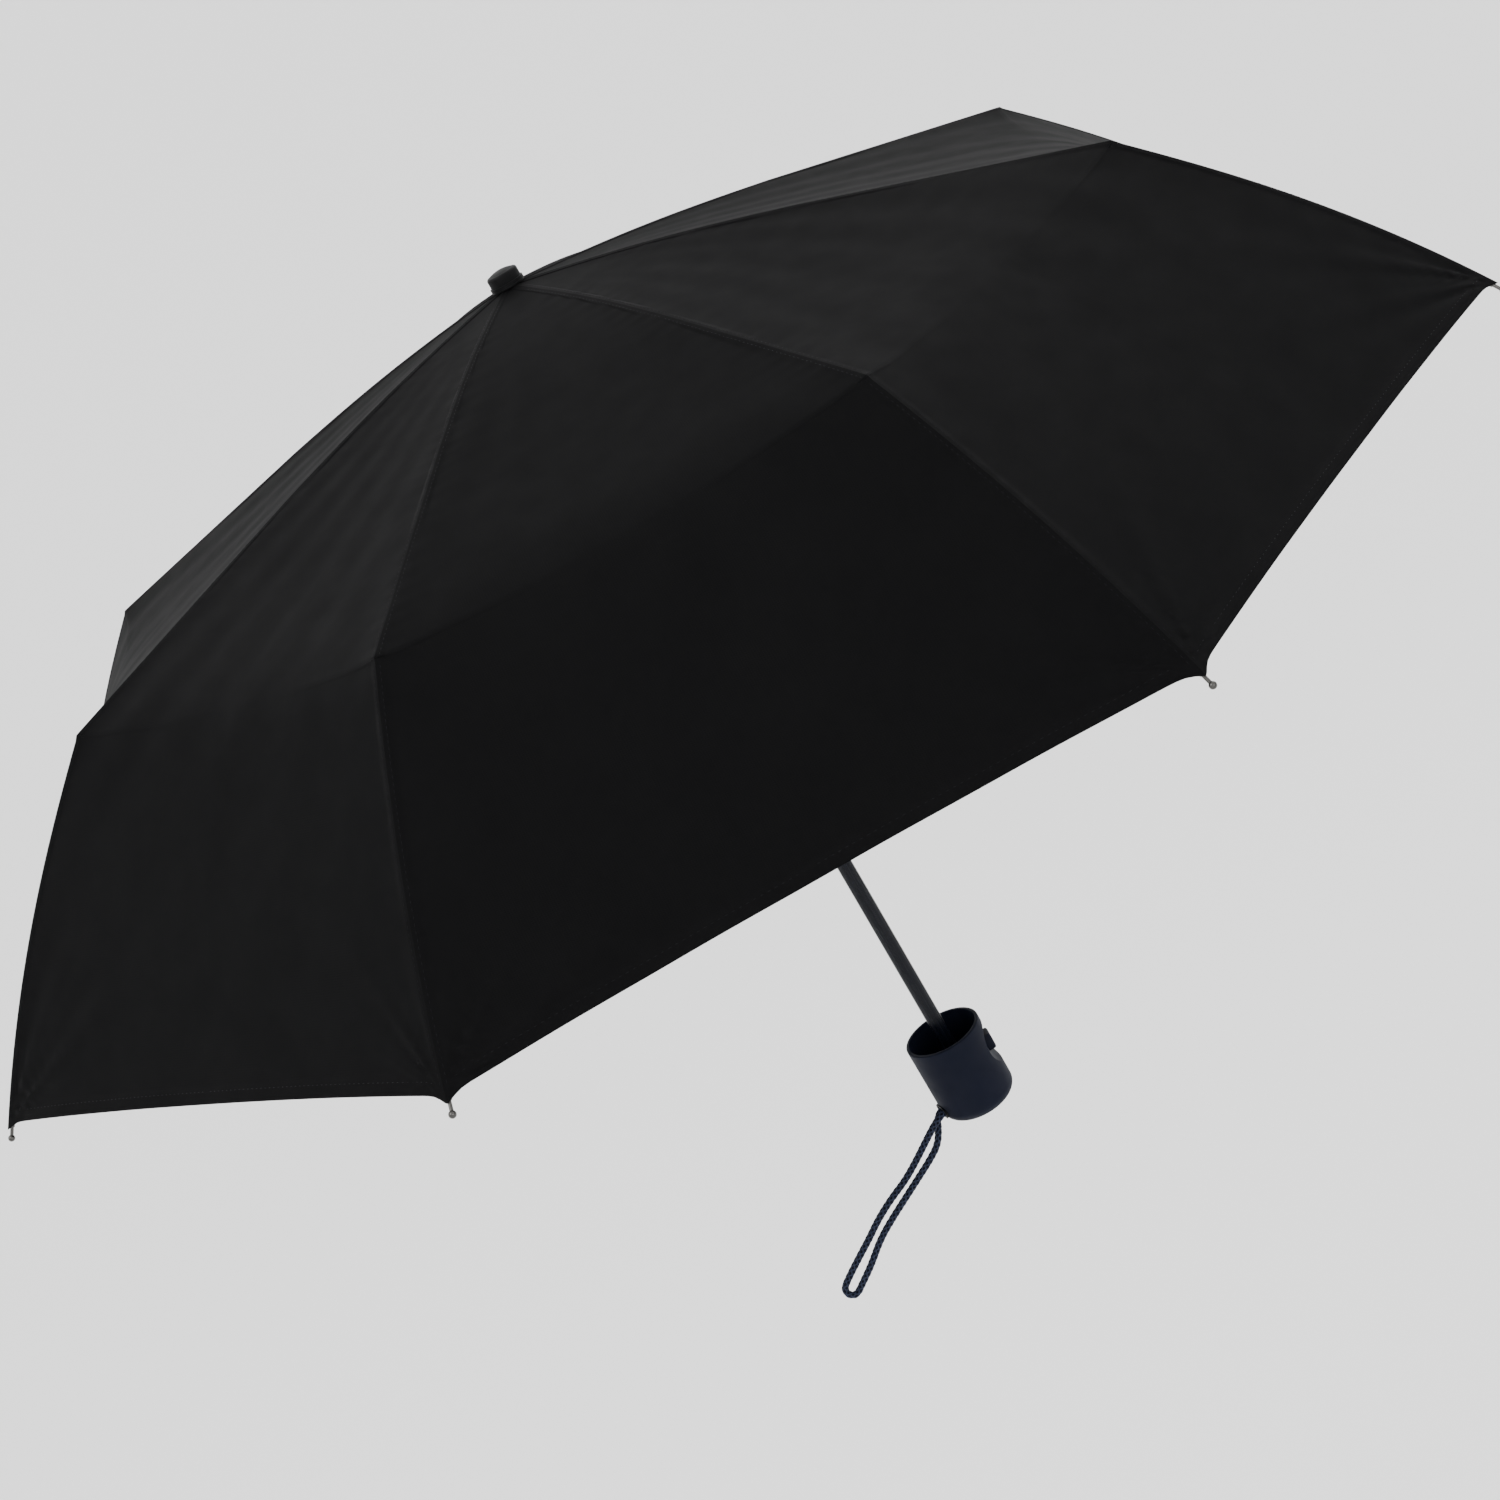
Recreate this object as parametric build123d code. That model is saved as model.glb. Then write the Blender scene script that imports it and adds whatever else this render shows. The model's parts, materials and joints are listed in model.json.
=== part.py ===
from build123d import *
import math
import os

# Folding umbrella, three-section frame, shown open.  Millimetres.
# +Z runs up the shaft, the origin is the centre of the handle's bottom face.
# Every rib lies in a radial plane; "along, side, up" are the directions of a rib member.

# ---- driving dimensions -------------------------------------------------------------------
RIBS = 8
FIRST_RIB = -67.5            # azimuth of the first rib from +X, degrees

HANDLE_R = 24.3              # handle: a cup that takes the folded rib tips
HANDLE_H = 54.0
HANDLE_WALL = 2.0
HANDLE_FLOOR = 2.5
BOTTOM_FILLET = 8.0
CORE_TOP = 12.0
DISH_R = 25.0                # thumb recess on the +X side
DISH_DEPTH = 4.8
DISH_Z = 34.0
BUTTON_Z = 34.5
BUTTON_H = 10.8
BUTTON_W = 9.0
BUTTON_INNER = 14.5          # inner end of the button, clear of the folded runner
LEAF_X = (14.0, 14.4)        # the button's leaf spring stands in a slot of the core
LEAF_HALF_W = 3.0
LEAF_LOW = 6.2

TUBE_TOP_R = 3.6             # telescoping shaft, outer radii
TUBE_MIDDLE_R = 4.2
TUBE_OUTER_R = 4.8
TUBE_WALL = 0.5
FLUTES = 10
OUTER_TUBE_Z = (6.0, 210.0)
MIDDLE_TUBE_Z = (190.0, 390.0)
TOP_TUBE_Z = (370.0, 570.0)

NOTCH_R = 8.5                # circle of the rib pivots, at the top notch and at the runner
NOTCH_Z = 564.5
HUB_R = 10.5
PIN_R = 0.5
RUN = 0.05                   # radial clearance of a hinge pin
FIT = 0.02                   # radial clearance of parts that don't move on each other
GAP = 0.1                    # clearance of parts that are pushed into each other

TOP_RIB = 160.0              # pivot to pivot
MID_RIB = 164.0
STRETCHER_AT = 100.0         # stretcher pivot along the top rib
TOP_SLOPE = 10.5             # degrees below level, open
MID_SLOPE = 14.4
STRETCHER_SLOPE = 26.0
TIP_R = 467.0                # centre of a ball tip
TIP_Z = 350.0

CHANNEL_W = 3.4              # folded-steel rib channel
CHANNEL_H = 3.0
SHEET = 0.45
MID_H = 2.8
WIRE_R = 1.1                 # outer rib wire
TONGUE_W = 2.0
TOP_RAISE = 3.1              # channel centre above the line of its pivots
KNEE_1_UP = 1.7              # first knee pin above the channel centres
KNEE_2_DOWN = 1.6            # second knee pin below the mid channel's centre
WIRE_RAISE = 1.3             # outer rib wire above the second knee pin
WIRE_BOW = 6.8               # how far the cloth bows the outer rib
BALL_R = 1.8
NECK_R = 0.9

CLOTH = 0.8                  # thickness of the canopy solid
CLOTH_GAP = 0.45             # cloth above a rib
CROWN_GAP = 0.3              # cloth above the hub and below the washer

CAP_TOP = 582.0
CAP_R = 9.0

CORD_D = 4.2                 # wrist strap, a braided cord
STRAP_AZIMUTH = 193.8
STRAP_Z = 9.6

os.makedirs("parts", exist_ok=True)


def save(shape, name):
    export_step(shape, f"parts/{name}.step")


def tube(outer, inner, low, high):
    ring = Cylinder(outer, high - low) - Cylinder(inner, high - low)
    return Pos(0, 0, (low + high) / 2) * ring


def rod(radius, low, high):
    return Pos(0, 0, (low + high) / 2) * Cylinder(radius, high - low)


def side_pin(radius, width, along=0.0, up=0.0):
    """A cylinder across a rib member, centred on its plane."""
    return Pos(along, 0, up) * Rot(90, 0, 0) * Cylinder(radius, width)


def block(along, side, up):
    """A box between two values along each direction of a rib member."""
    size = [high - low for low, high in (along, side, up)]
    middle = [(high + low) / 2 for low, high in (along, side, up)]
    return Pos(*middle) * Box(*size)


def azimuth(k):
    return FIRST_RIB + 360.0 / RIBS * k


def in_rib_plane(member, k, r, z, slope):
    """Put a member whose start pivot is its origin at (r, z), pointing slope degrees down."""
    return Rot(0, 0, azimuth(k)) * Pos(r, 0, z) * Rot(0, slope, 0) * member


def step(start, slope, along, up):
    """The point that lies along and up from start, in a member that slopes down."""
    s = math.radians(slope)
    r = start[0] + along * math.cos(s) + up * math.sin(s)
    z = start[1] - along * math.sin(s) + up * math.cos(s)
    return r, z


# ---- places of the pivots, as (radius, height) ----------------------------------------------
NOTCH = (NOTCH_R, NOTCH_Z)
KNEE_1 = step(NOTCH, TOP_SLOPE, TOP_RIB, TOP_RAISE + KNEE_1_UP)
KNEE_2 = step(KNEE_1, MID_SLOPE, MID_RIB, -KNEE_1_UP - KNEE_2_DOWN)
PIVOT = step(NOTCH, TOP_SLOPE, STRETCHER_AT, 0.0)
OUTER_RIB = math.dist(KNEE_2, (TIP_R, TIP_Z))
OUTER_SLOPE = math.degrees(math.atan2(KNEE_2[1] - TIP_Z, TIP_R - KNEE_2[0]))
STRETCHER = (PIVOT[0] - NOTCH_R) / math.cos(math.radians(STRETCHER_SLOPE))
RUNNER_Z = PIVOT[1] - STRETCHER * math.sin(math.radians(STRETCHER_SLOPE))
TUBE_TRAVEL = 158.75
RUNNER_TRAVEL = STRETCHER_AT + STRETCHER - (NOTCH_Z - RUNNER_Z)


# ---- handle ---------------------------------------------------------------------------------
DISH_X = HANDLE_R - DISH_DEPTH + DISH_R
DISH_WALL = 1.6
RIM_FILLET = 0.8
CUP_CHAMFER = 4.5            # inside the bottom fillet
EYELET_L, EYELET_H = 13.6, 8.2
EYELET_WALL = 1.5
EYELET_FROM, EYELET_PROUD = 22.0, 0.6
STRAP_HOLE_FROM = 18.0       # the strap's hole runs this deep towards the axis
LIP_W, LIP_H = 6.0, 1.3
LIP_DEPTH = 1.2
BUTTON_FACE = HANDLE_R + 0.6
BUTTON_FILLET = 1.4


def strap_slot(length, height, low, high):
    """An oblong prism through the wall where the strap leaves, between two radii."""
    prism = extrude(Plane.YZ * SlotOverall(length, height), high - low, dir=(1, 0, 0))
    return Rot(0, 0, STRAP_AZIMUTH) * Pos(low, 0, STRAP_Z) * prism


def dish(radius):
    return Pos(DISH_X, 0, DISH_Z) * Rot(90, 0, 0) * Cylinder(radius, 3 * HANDLE_R)


def handle_shell():
    body = rod(HANDLE_R, 0, HANDLE_H)
    body = fillet(body.edges().group_by(Axis.Z)[0], BOTTOM_FILLET)
    body = fillet(body.edges().group_by(Axis.Z)[-1], RIM_FILLET)
    body -= dish(DISH_R)
    inside = rod(HANDLE_R - HANDLE_WALL, HANDLE_FLOOR, HANDLE_H + 1)
    inside = chamfer(inside.edges().group_by(Axis.Z)[0], CUP_CHAMFER)
    body -= inside - dish(DISH_R + DISH_WALL)
    half_w, half_h = BUTTON_W / 2 + GAP, BUTTON_H / 2 + GAP
    body -= block((0, HANDLE_R + 1), (-half_w, half_w), (BUTTON_Z - half_h, BUTTON_Z + half_h))
    hole = strap_slot(EYELET_L + 2 * FIT, EYELET_H + 2 * FIT, STRAP_HOLE_FROM, HANDLE_R + 2)
    return body - hole


def handle_core():
    """The plug in the bottom of the cup, which holds the tube, the spring and the strap."""
    body = rod(HANDLE_R - HANDLE_WALL - GAP, HANDLE_FLOOR + GAP, CORE_TOP)
    body = chamfer(body.edges().group_by(Axis.Z)[0], CUP_CHAMFER + GAP)
    body -= rod(TUBE_OUTER_R + FIT, OUTER_TUBE_Z[0], CORE_TOP + 1)
    half_w = LEAF_HALF_W + GAP
    body -= block((LEAF_X[0] - GAP, LEAF_X[1] + GAP), (-half_w, half_w), (LEAF_LOW - GAP, CORE_TOP + 1))
    return body - strap_slot(EYELET_L + 1, EYELET_H + 1, STRAP_HOLE_FROM, HANDLE_R)


def strap_eyelet():
    ring = strap_slot(EYELET_L, EYELET_H, EYELET_FROM, HANDLE_R + EYELET_PROUD)
    long, tall = EYELET_L - 2 * EYELET_WALL, EYELET_H - 2 * EYELET_WALL + 0.6
    return ring - strap_slot(long, tall, STRAP_HOLE_FROM, HANDLE_R + 6)


def push_button():
    half = BUTTON_W / 2
    body = block((BUTTON_INNER, BUTTON_FACE), (-half, half),
                 (BUTTON_Z - BUTTON_H / 2, BUTTON_Z + BUTTON_H / 2))
    body = fillet(body.edges().group_by(Axis.X)[-1], BUTTON_FILLET)
    lips = block((BUTTON_INNER, BUTTON_INNER + LIP_DEPTH), (-LIP_W / 2, LIP_W / 2),
                 (BUTTON_Z - BUTTON_H / 2 - LIP_H, BUTTON_Z + BUTTON_H / 2 + LIP_H))
    return body + lips


def button_spring():
    """A leaf that stands in the core and presses on the button's inner end."""
    return block(LEAF_X, (-LEAF_HALF_W, LEAF_HALF_W), (LEAF_LOW, BUTTON_Z + 3))


# ---- shaft ----------------------------------------------------------------------------------
CATCH_W, CATCH_H = 2.2, 3.0
FLUTE_R = 0.7                # a flute's own radius; its centre is outside the tube
FLUTE_OUT = 0.45


def outer_tube():
    body = tube(TUBE_OUTER_R, TUBE_OUTER_R - TUBE_WALL, *OUTER_TUBE_Z)
    low, high = CORE_TOP + 2, OUTER_TUBE_Z[1] - 6
    for n in range(FLUTES):
        groove = Pos(TUBE_OUTER_R + FLUTE_OUT, 0, 0) * rod(FLUTE_R, low, high)
        body -= Rot(0, 0, 360 / FLUTES * n) * groove
    return body


def catch_block(tube_r, low, reach, grow=0.0):
    """A sprung catch on the +Y side, between the tube's inside and reach."""
    inner = tube_r - TUBE_WALL + GAP
    up = (low - grow, low + CATCH_H + grow)
    return Rot(0, 0, 90) * block((inner, reach), (-CATCH_W / 2 - grow, CATCH_W / 2 + grow), up)


def holed_tube(tube_r, span, *catches):
    body = tube(tube_r, tube_r - TUBE_WALL, *span)
    for low in catches:
        body -= catch_block(tube_r - 1, low, tube_r + 1, GAP)
    return body


MIDDLE_CATCH = OUTER_TUBE_Z[1] + 1
TOP_CATCH = MIDDLE_TUBE_Z[1] + 1
SLEEVE_L = 22.0
RUNNER_CATCH = RUNNER_Z - SLEEVE_L - CATCH_H - 0.5
SPRING_R, SPRING_WIRE = 2.3, 0.35
SPRING_PITCH = 8.0
SPRING_Z = (380.0, 548.0)


def opening_spring():
    path = Helix(SPRING_PITCH, SPRING_Z[1] - SPRING_Z[0], SPRING_R, center=(0, 0, SPRING_Z[0]))
    start = Plane(origin=path @ 0, z_dir=path % 0)
    return sweep(start * Circle(SPRING_WIRE), path, is_frenet=True)


# ---- notch, runner and cap ------------------------------------------------------------------
SLOT_W = 2.2
SLOT_TOP = NOTCH_Z + 3.4     # the notch's slots stay open for the rib's foot
SLOT_FLOOR = 6.6             # radius of a slot's inner end
RUNNER_SLOT_W = 3.0
RUNNER_SLOT_FLOOR = 6.5
COLLAR_R = 5.6
SLEEVE_BORE = TUBE_OUTER_R + 0.25
SLEEVE_R = 6.2
SLEEVE_RIM_R, SLEEVE_RIM_H = 7.4, 4.0
CROWN_H = 6.0
HUB_TOP = NOTCH_Z + 6.0
HUB_LOW = NOTCH_Z - 3.0
COLLAR_LOW = NOTCH_Z - 10.0


def slot(k, width, inner, low, high):
    return Rot(0, 0, azimuth(k)) * block((inner, HUB_R + 2), (-width / 2, width / 2), (low, high))


def ring_wire(z, radius, skip=0.0):
    """The wire that threads the rib eyes: straight at each eye, as a pin, and round corners."""
    side = 2 * NOTCH_R * math.tan(math.pi / RIBS)
    body = None
    for k in range(RIBS):
        spin = Rot(0, 0, azimuth(k))
        piece = spin * Pos(NOTCH_R, 0, z) * Rot(90, 0, 0) * Cylinder(radius, side)
        corner = NOTCH_R / math.cos(math.pi / RIBS)
        ball = Rot(0, 0, azimuth(k) + 180 / RIBS) * Pos(corner, 0, z) * Sphere(radius)
        body = piece + ball if body is None else body + piece + ball
    for k in range(RIBS if skip else 0):
        body -= slot(k, skip, NOTCH_R - 2, z - 2, z + 2)
    return body


def top_notch():
    body = rod(HUB_R, HUB_LOW, HUB_TOP) + rod(COLLAR_R, COLLAR_LOW, HUB_LOW)
    body -= rod(TUBE_TOP_R + FIT, COLLAR_LOW - 1, HUB_TOP + 1)
    for k in range(RIBS):
        body -= slot(k, SLOT_W, SLOT_FLOOR, HUB_LOW - 1, SLOT_TOP)
    return body - ring_wire(NOTCH_Z, PIN_R + FIT)


def runner():
    body = rod(HUB_R, RUNNER_Z - CROWN_H / 2, RUNNER_Z + CROWN_H / 2)
    body += rod(SLEEVE_R, RUNNER_Z - SLEEVE_L, RUNNER_Z)
    body += rod(SLEEVE_RIM_R, RUNNER_Z - SLEEVE_L, RUNNER_Z - SLEEVE_L + SLEEVE_RIM_H)
    body -= rod(SLEEVE_BORE, RUNNER_Z - SLEEVE_L - 1, RUNNER_Z + CROWN_H)
    for k in range(RIBS):
        body -= slot(k, RUNNER_SLOT_W, RUNNER_SLOT_FLOOR, RUNNER_Z - CROWN_H, RUNNER_Z + CROWN_H)
        body -= slot(k, RUNNER_SLOT_W, SLEEVE_R + GAP, RUNNER_Z - SLEEVE_L - 1, RUNNER_Z)
    return body - ring_wire(RUNNER_Z, PIN_R + FIT)


WASHER_R, WASHER_T = 9.6, 0.8
WASHER_LOW = HUB_TOP + CLOTH + 2 * CROWN_GAP
CAP_COLLAR = (0.8, 1.8)      # how far the cap's collar stands out, and its height
CAP_EDGE, CAP_DOME = 1.5, 1.5


def canopy_washer():
    return tube(WASHER_R, TUBE_TOP_R + FIT, WASHER_LOW, WASHER_LOW + WASHER_T)


def top_cap():
    """A domed cap with a narrow collar; its plug sits in the top of the tube."""
    plug_r, plug_low = TUBE_TOP_R - TUBE_WALL - FIT, SPRING_Z[1] + 6
    low = WASHER_LOW + WASHER_T + GAP
    collar_r, collar_top = CAP_R + CAP_COLLAR[0], low + CAP_COLLAR[1]
    edge, dome = CAP_EDGE, CAP_DOME
    shoulder = CAP_TOP - dome - edge
    lines = Polyline((0, plug_low), (plug_r, plug_low), (plug_r, low), (collar_r, low),
                     (collar_r, collar_top), (CAP_R, collar_top), (CAP_R, shoulder))
    turn = RadiusArc((CAP_R, shoulder), (CAP_R - edge, shoulder + edge), -edge)
    dome_r = ((CAP_R - edge) ** 2 + dome ** 2) / (2 * dome)
    top = RadiusArc((CAP_R - edge, shoulder + edge), (0, CAP_TOP), -dome_r)
    profile = make_face(Curve() + [lines, turn, top, Line((0, CAP_TOP), (0, plug_low))])
    return revolve(Plane.XZ * profile, Axis.Z)


# ---- ribs -----------------------------------------------------------------------------------
EYE_R = 1.2
NOTCH_EYE_R = 1.4
CHANNEL_FROM = 5.0
HALF_TONGUE = TONGUE_W / 2
HEAD_R, HEAD_T = 0.9, 0.25
INNER_HALF = 1.25            # half the space between a channel's side walls
WEB_END = 3.5                # the top rib's web ends this far before the knee
MID_WEB_END = 4.0
FOOT_HALF = 0.8              # the top rib's flat foot in the notch
FOOT_BEVEL = 32.0
STRETCHER_FLAT = 3.0
MID_FROM = 2.2               # the mid channel starts this far past its pin


def channel(start, stop, width, height, centre):
    """A folded channel that is open to the underside."""
    low, high = centre - height / 2, centre + height / 2
    body = block((start, stop), (-width / 2, width / 2), (low, high))
    inner = width / 2 - SHEET
    return body - block((start - 1, stop + 1), (-inner, inner), (low - 1, high - SHEET))


def ears(along, up, to, width):
    """Two round ears with a pin hole at (along, up), joined to the channel's sides at height to."""
    low, high = min(up, to), max(up, to)
    body = block((along - EYE_R, along + EYE_R), (-width / 2, width / 2), (low, high))
    body += side_pin(EYE_R, width, along, up)
    inner = width / 2 - SHEET
    gap = block((along - 2, along + 2), (-inner, inner), (low - 2, high + 2))
    return body - gap - side_pin(PIN_R + FIT, width + 1, along, up)


def rivet(along, up, width):
    """A pin with two flat heads, which stays in the ears."""
    body = side_pin(PIN_R, width + 2 * HEAD_T, along, up)
    for side in (-1, 1):
        head = side_pin(HEAD_R, HEAD_T, along, up)
        body += Pos(0, side * (width / 2 + FIT + HEAD_T / 2), 0) * head
    return body


def tongue(radius, hole, to_along, low, high):
    """A flat tongue from an eye at the origin to a member that starts at to_along."""
    body = block((0, to_along), (-HALF_TONGUE, HALF_TONGUE), (low, high))
    body += side_pin(radius, TONGUE_W, 0, 0)
    corner = block((0, radius), (-HALF_TONGUE, HALF_TONGUE), (min(low, 0), max(high, 0)))
    return body + corner - side_pin(hole, TONGUE_W + 1, 0, 0)


def top_rib():
    """Channel with a tongue at the notch, ears below at the stretcher and above at the knee."""
    width = CHANNEL_W
    knee_up = TOP_RAISE + KNEE_1_UP
    low = TOP_RAISE - CHANNEL_H / 2
    web_to = TOP_RIB - WEB_END
    body = channel(CHANNEL_FROM, web_to, width, CHANNEL_H, TOP_RAISE)
    side = channel(web_to - 0.5, TOP_RIB + EYE_R, width, CHANNEL_H, TOP_RAISE)
    web = block((web_to, TOP_RIB + 2), (-INNER_HALF, INNER_HALF), (low, low + CHANNEL_H + 1))
    body += side - web
    body += ears(TOP_RIB, knee_up, low + 1, width)
    body += ears(STRETCHER_AT, 0, low + 1, width)
    body -= side_pin(PIN_R + FIT, width + 1, TOP_RIB, knee_up)
    half = FOOT_HALF
    foot = block((0, CHANNEL_FROM + 4), (-half, half), (0, low + CHANNEL_H - SHEET / 2))
    foot -= Rot(0, -FOOT_BEVEL, 0) * block((-6, 12), (-1, 1), (NOTCH_EYE_R - GAP, 9))
    foot += side_pin(NOTCH_EYE_R, 2 * half)
    body += foot - side_pin(PIN_R + RUN, 3)
    pins = [rivet(TOP_RIB, knee_up, width), rivet(STRETCHER_AT, 0, width)]
    return [body, *pins]


def stretcher():
    """A round bar with a flat eye at each end."""
    flat, half = STRETCHER_FLAT, EYE_R / 2
    bar = Pos(STRETCHER / 2, 0, 0) * Rot(0, 90, 0) * Cylinder(EYE_R, STRETCHER - 2 * flat)
    for end in (0, STRETCHER):
        bar += side_pin(EYE_R, TONGUE_W, end)
    for span in ((0, flat + 1), (STRETCHER - flat - 1, STRETCHER)):
        bar += block(span, (-HALF_TONGUE, HALF_TONGUE), (-half, half))
    for end in (0, STRETCHER):
        bar -= side_pin(PIN_R + RUN, TONGUE_W + 1, end)
    return bar


def mid_rib():
    """Channel with a tongue on the first knee and ears below it at the second knee."""
    centre = -KNEE_1_UP
    end_up = -KNEE_1_UP - KNEE_2_DOWN
    low = centre - MID_H / 2
    start, web_to = MID_FROM, MID_RIB - MID_WEB_END
    body = channel(start, web_to, CHANNEL_W, MID_H, centre)
    side = channel(web_to - 0.5, MID_RIB + EYE_R, CHANNEL_W, MID_H, centre)
    web = block((web_to, MID_RIB + 2), (-INNER_HALF, INNER_HALF), (low - 1, low + MID_H + 1))
    body += side - web
    body += ears(MID_RIB, end_up, low + 1, CHANNEL_W)
    body -= side_pin(PIN_R + FIT, CHANNEL_W + 1, MID_RIB, end_up)
    lug = tongue(EYE_R, PIN_R + RUN, start + 4, low + 1.2, low + MID_H)
    lug = lug + block((start, start + 4), (-1.3, 1.3), (low + 1.2, low + MID_H - 0.2))
    return [body + lug - side_pin(PIN_R + RUN, 3), rivet(MID_RIB, end_up, CHANNEL_W)]


TIP_BALL = 7.5               # ball centre from the wire's end
TIP_GRIP, TIP_SOLID, TIP_NECK = 5.0, 1.6, 4.4
TIP_WALL = 0.27
WIRE_FROM = (3.0, WIRE_RAISE)
WIRE_TO = (OUTER_RIB - 7.4, 1.1)
LUG_HALF = 0.9


def wire_path():
    middle = ((WIRE_FROM[0] + WIRE_TO[0]) / 2, (WIRE_FROM[1] + WIRE_TO[1]) / 2 + WIRE_BOW)
    points = [(along, 0, up) for along, up in (WIRE_FROM, middle, WIRE_TO)]
    return ThreePointArc(*points)


def outer_rib():
    """A bowed wire with a flat tongue on the second knee."""
    path = wire_path()
    bar = sweep(Plane(origin=path @ 0, z_dir=path % 0) * Circle(WIRE_R), path)
    lug = block((0.5, 7), (-LUG_HALF - 0.05, LUG_HALF + 0.05),
                (WIRE_RAISE - LUG_HALF, WIRE_RAISE + LUG_HALF))
    lug += side_pin(WIRE_R, TONGUE_W, 0, 0)
    lug += block((0, 2), (-HALF_TONGUE, HALF_TONGUE), (-0.2, 1.1))
    return bar + lug - side_pin(PIN_R + RUN, TONGUE_W + 1, 0, 0)


def tip():
    """A cup on the end of the wire, a thin neck and a ball."""
    path = wire_path()
    body = rod(WIRE_R + TIP_WALL, -TIP_GRIP, TIP_SOLID)
    body -= rod(WIRE_R + FIT, -TIP_GRIP - 1, FIT)
    body += rod(NECK_R, TIP_SOLID, TIP_SOLID + TIP_NECK)
    body += Pos(0, 0, TIP_BALL) * Sphere(BALL_R)
    return Plane(origin=path @ 1, z_dir=path % 1) * body


# ---- canopy ---------------------------------------------------------------------------------
CROWN_TO = 12.0              # the cloth is level out to this radius
SWELL_AT, SWELL = 40.0, 2.0  # where and how far the top panel stands above its rib
KNEE_2_ROOM = 1.2            # more room over the second knee
WIRE_ROOM = 0.3
HEM_AT = 0.955               # the cloth ends at this share of the wire
def octagon(r, z):
    """A flat octagon whose corners are over the ribs."""
    corners = []
    for k in range(RIBS):
        a = math.radians(azimuth(k))
        corners.append((r * math.cos(a), r * math.sin(a), z))
    return make_face(Polyline(*corners, close=True))


def cloth_line():
    """The underside of the cloth over a rib, from the crown to the tips."""
    channel_top = TOP_RAISE + CHANNEL_H / 2 + CLOTH_GAP
    swell = step(NOTCH, TOP_SLOPE, SWELL_AT, channel_top)
    points = [(CROWN_TO, HUB_TOP + CROWN_GAP), (NOTCH_R + SWELL_AT - 0.5, swell[1] + SWELL)]
    points.append(step(KNEE_1, TOP_SLOPE, 0.0, EYE_R + CLOTH_GAP))
    points.append(step(KNEE_2, MID_SLOPE, 0.0, KNEE_2_DOWN + MID_H / 2 + CLOTH_GAP + KNEE_2_ROOM))
    path = wire_path()
    for share in (0.12, 0.3, 0.5, 0.7, 0.86, HEM_AT):
        place = path @ share
        points.append(step(KNEE_2, OUTER_SLOPE, place.X, place.Z + WIRE_R + CLOTH_GAP + WIRE_ROOM))
    return points


def canopy():
    line = cloth_line()
    top = HUB_TOP + CROWN_GAP
    outside = inside = None
    for (r0, z0), (r1, z1) in zip(line, line[1:]):
        below = loft([octagon(r0, z0), octagon(r1, z1)], ruled=True)
        above = loft([octagon(r0, z0 + CLOTH), octagon(r1, z1 + CLOTH)], ruled=True)
        inside = below if inside is None else inside + below
        outside = above if outside is None else outside + above
    rim = line[-1]
    outside += extrude(octagon(rim[0], rim[1]), CLOTH)
    outside += extrude(octagon(line[0][0], top), CLOTH)
    return outside - inside - rod(TUBE_TOP_R + CROWN_GAP + GAP, top - 5, CAP_TOP)


# ---- wrist strap ----------------------------------------------------------------------------
STRAP_ROUTE = [
    (-21.4, -7.7, 10.0), (-28.4, -9.9, 8.8), (-39.0, -11.6, 2.2), (-52.5, -13.7, -7.0),
    (-64.5, -15.8, -14.1), (-77.3, -18.2, -19.0), (-90.4, -20.8, -25.6), (-101.4, -23.6, -32.8),
    (-112.5, -26.0, -39.4), (-123.8, -28.6, -46.5), (-129.0, -30.1, -50.2), (-129.6, -31.3, -53.6),
    (-127.4, -32.2, -56.4), (-123.8, -32.3, -57.0), (-118.3, -30.8, -53.4), (-107.6, -28.4, -46.2),
    (-95.4, -24.7, -36.2), (-82.0, -21.5, -29.0), (-68.6, -18.6, -22.6), (-56.6, -16.0, -16.8),
    (-46.0, -13.6, -11.8), (-36.6, -10.6, -6.6), (-31.2, -7.2, 0.8), (-28.4, -4.6, 7.6),
    (-22.5, -3.1, 10.0),
]


def strap_radii(points):
    radii = []
    for a, b, c in zip(points, points[1:], points[2:]):
        first, second = Vector(*b) - Vector(*a), Vector(*c) - Vector(*b)
        turn = first.get_angle(second)
        radii.append(0.45 * min(first.length, second.length) / math.tan(math.radians(turn / 2)))
    return radii


def wrist_strap():
    radii = strap_radii(STRAP_ROUTE)
    path = FilletPolyline(*STRAP_ROUTE, radius=radii)
    start = Plane(origin=path @ 0, z_dir=path % 0)
    body = sweep(start * Circle(CORD_D / 2), path)
    expected = math.pi * CORD_D ** 2 / 4 * path.length
    print("strap radii", [round(r, 1) for r in radii])
    print("strap length", round(path.length, 1), "volume share", round(body.volume / expected, 4))
    return body


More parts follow.
